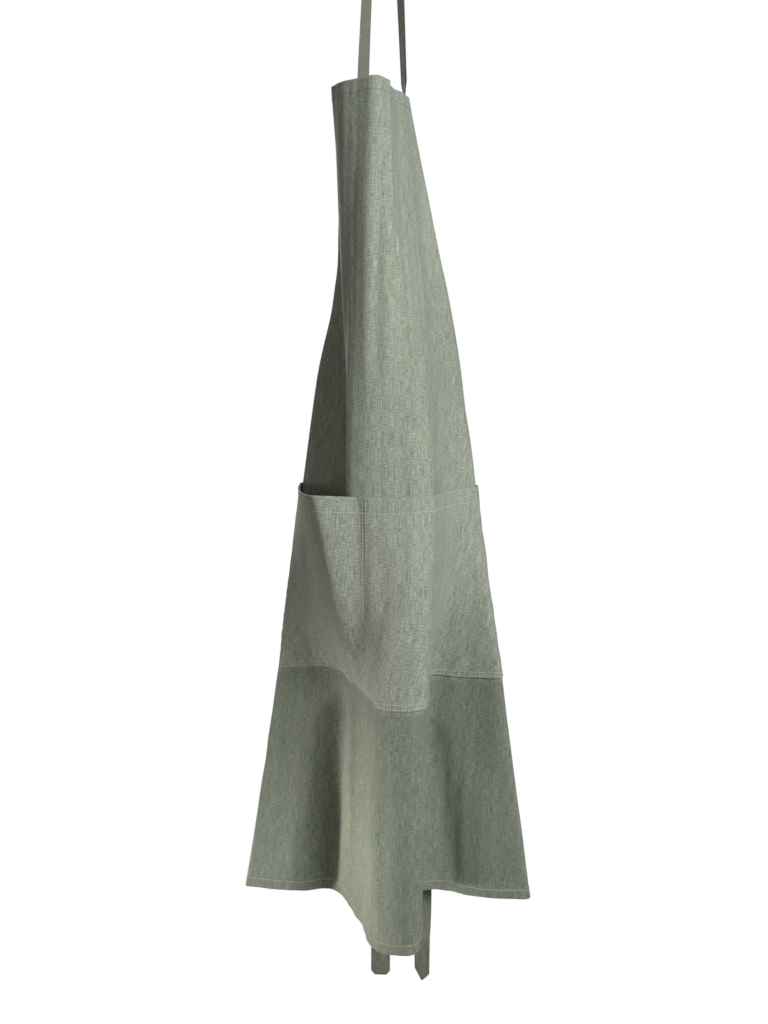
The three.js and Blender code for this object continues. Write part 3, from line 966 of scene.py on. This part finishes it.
def thickness(top, bottom, columns, rises, grooves=0):
    """How thick a cloth with its hems is in front of and behind its middle, by row and column."""
    distance = (1 - np.abs(columns)) * HALF_WIDTH
    sides = hem_band(distance, (1 - SIDE_HEM_FROM) * HALF_WIDTH)
    share = np.clip(np.maximum(top, bottom)[:, None] + sides[None] - grooves, *HEM_LIMITS)
    front = CLOTH / 2 + HEM_RISE * rises[0] * share
    back = CLOTH / 2 + HEM_RISE * rises[1] * np.maximum(share, 0)
    return front, back


def make_body():
    """The body cloth, its hem stitching and its edge stitching."""
    columns = cloth_columns()
    fine = [2, BIB_HEM - 2, POCKET_TOP_DOWN, POCKET_BOTTOM_DOWN, HEM_DOWN - 10, HEM_DOWN - 2]
    downs = graded_downs(0, HEM_DOWN, fine)
    points, u, _ = body_surface(downs, columns)
    top, bottom = hem_band(downs, BIB_HEM), hem_band(HEM_DOWN - downs, BOTTOM_HEM)
    front, back = thickness(top, bottom, columns, BODY_RISE)
    piece = cloth_object("apron_cloth", points, u, downs, front, back, cloth_base)
    hem_line_down = HEM_DOWN - BOTTOM_HEM + HEM_STITCH_INSET
    hem_line = line_across(body_surface, hem_line_down, HEM_LINE_REACH)
    edge_lines = [line_across(body_surface, BIB_HEM - HEM_STITCH_INSET, BIB_LINE_REACH)]
    for sign in (-1, 1):
        edge_lines.append(line_down(body_surface, 4, HEM_DOWN - 4, sign * SIDE_LINE_PLACE))
    hem = stitching_object("apron_hem_stitching", [hem_line], thread)
    edges = stitching_object("apron_edge_stitching", edge_lines, tonal_thread)
    return piece, hem, edges


def make_pocket():
    """The pocket cloth and its stitching: hem, double bottom seam, divider and sides."""
    columns = cloth_columns()
    hem_down = POCKET_TOP_DOWN + POCKET_HEM - HEM_STITCH_INSET
    downs = graded_downs(POCKET_TOP_DOWN, POCKET_BOTTOM_DOWN,
                         [POCKET_TOP_DOWN + 2, hem_down, POCKET_BOTTOM_DOWN - 3])
    points = pocket_surface(downs, columns)[0]
    u = columns[None] * POCKET_FLAT[0] / 2 / MM * np.ones((len(downs), 1))
    top = hem_band(downs - POCKET_TOP_DOWN, POCKET_HEM)
    bottom = hem_band(POCKET_BOTTOM_DOWN - downs, POCKET_BOTTOM_HEM)
    depth, aside, width = DIVIDER_GROOVE
    from_divider = columns[None] * HALF_WIDTH
    grooves = [np.exp(-((from_divider + sign * aside) / width) ** 2) for sign in (-1, 1)]
    front, back = thickness(top, bottom, columns, POCKET_RISE, depth * sum(grooves))
    piece = cloth_object("pocket_cloth", points, u, downs, front, back, pocket_base)
    lines = [line_across(pocket_surface, hem_down, POCKET_HEM_REACH)]
    for up in POCKET_SEAMS_UP:
        lines.append(line_across(pocket_surface, POCKET_BOTTOM_DOWN - up, POCKET_SEAM_REACH))
    start, end = POCKET_TOP_DOWN + 3, POCKET_BOTTOM_DOWN - 2
    for sign in (-1, 1):
        lines.append(line_down(pocket_surface, start, end, 0, sign * DIVIDER_STITCHES))
    for sign in (-1, 1):
        lines.append(line_down(pocket_surface, start, end, sign * POCKET_SEAM_REACH))
    return piece, stitching_object("pocket_stitching", lines, thread)


body, *body_thread = make_body()
pocket, pocket_thread = make_pocket()
for part in (body, *body_thread, pocket, pocket_thread):
    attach(part, "apron")
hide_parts("body_panel")
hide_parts("pocket_panel")

hook_steel = steel_material("brushed_steel", linear(128, 130, 132), linear(176, 178, 180))
screw_steel = steel_material("zinc_screw_steel", linear(140, 141, 138), linear(190, 190, 186))
FINISHES = {
    "hook_plate": hook_steel,
    "hook_arm": hook_steel,
    "upper_screw": screw_steel,
    "lower_screw": screw_steel,
}
for node, finish in FINISHES.items():
    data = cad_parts[node].data
    data.materials.clear()
    data.materials.append(finish)


# ---------------------------------------------------------------- stage, light and camera

def shown_or_given(tree, shown, given, output):
    """Sends the shown shader to the camera's rays and the given one to every other ray."""
    rays = tree.nodes.new("ShaderNodeLightPath")
    choose = tree.nodes.new("ShaderNodeMixShader")
    tree.links.new(rays.outputs["Is Camera Ray"], choose.inputs[0])
    tree.links.new(given.outputs[0], choose.inputs[1])
    tree.links.new(shown.outputs[0], choose.inputs[2])
    tree.links.new(choose.outputs[0], tree.nodes[output].inputs[0])


def pale_floor():
    """A floor that shows white and gives the object only the light of a plain matt floor."""
    material = bpy.data.materials.new("pale_floor")
    material.use_nodes = True
    tree = material.node_tree
    tree.nodes.remove(tree.nodes["Principled BSDF"])
    shown = tree.nodes.new("ShaderNodeEmission")
    matt = tree.nodes.new("ShaderNodeBsdfDiffuse")
    matt.inputs[0].default_value = FLOOR_GREY
    shown_or_given(tree, shown, matt, "Material Output")
    return material


def white_stage():
    """A pale floor well below the apron."""
    height = (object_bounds()[0].z - FLOOR_GAP) / MM
    half = FLOOR_HALF / MM
    corners = [(x * half, y * half, height) for x, y in ((-1, -1), (1, -1), (1, 1), (-1, 1))]
    floor = new_object("floor", corners, [(0, 1, 2, 3)], pale_floor())


def white_world(background, fill):
    """A white background that gives the object less light than it shows."""
    world = bpy.data.worlds.new("studio")
    bpy.context.scene.world = world
    world.use_nodes = True
    tree = world.node_tree
    shown = tree.nodes["Background"]
    shown.inputs[0].default_value = WHITE
    shown.inputs[1].default_value = background
    given = tree.nodes.new("ShaderNodeBackground")
    given.inputs[0].default_value = FILL_COLOUR
    given.inputs[1].default_value = fill
    shown_or_given(tree, shown, given, "World Output")


def area_light(name, place, target, size, power, colour, spread):
    """A round lamp at a place, turned to a target. Sizes are in metres, power in watts."""
    light = bpy.data.lights.new(name, "AREA")
    light.shape = "DISK"
    light.size = size
    light.energy = power
    light.color = colour
    light.spread = math.radians(spread)
    obj = bpy.data.objects.new(name, light)
    obj.location = place
    obj.rotation_mode = "QUATERNION"
    obj.rotation_quaternion = (Vector(target) - Vector(place)).to_track_quat("-Z", "Y")
    bpy.context.scene.collection.objects.link(obj)


def camera(below_bib, distance, tilt, focal):
    """A camera in front of the apron, on its centre plane and tilted down a little."""
    data = bpy.data.cameras.new("front_camera")
    data.sensor_fit = "VERTICAL"
    data.sensor_height = 36
    data.lens = focal
    obj = bpy.data.objects.new("front_camera", data)
    obj.location = (0, -distance, BIB_TOP_Z * MM - below_bib)
    obj.rotation_euler = (math.radians(90 - tilt), 0, 0)
    bpy.context.scene.collection.objects.link(obj)
    bpy.context.scene.camera = obj


# Each lamp: name, place, target, size, power, colour and spread in degrees
LIGHTS = [
    ("key", (0.93, -1.45, 0.12), (0.0, -0.1, -0.5), 0.7, 34, (0.955, 1, 0.985), 180),
    ("low_left", (-1.15, -0.02, -1.35), (-0.02, -0.12, -1.06), 0.3, 0.42, (1, 0.985, 0.93), 24),
    ("left_fill", (-1.5, -0.75, -0.75), (0.0, -0.1, -0.65), 0.9, 2.8, (1, 0.985, 0.94), 180),
    ("back", (-0.9, 2.0, 0.1), (0.0, 0.0, -0.65), 1.2, 36, (1, 1, 1), 180),
]

bpy.context.scene.view_settings.view_transform = "Standard"
white_stage()
white_world(background=1.0, fill=0.115)
for lamp in LIGHTS:
    area_light(*lamp)
camera(below_bib=0.275, distance=1.21, tilt=7.36, focal=38.67)
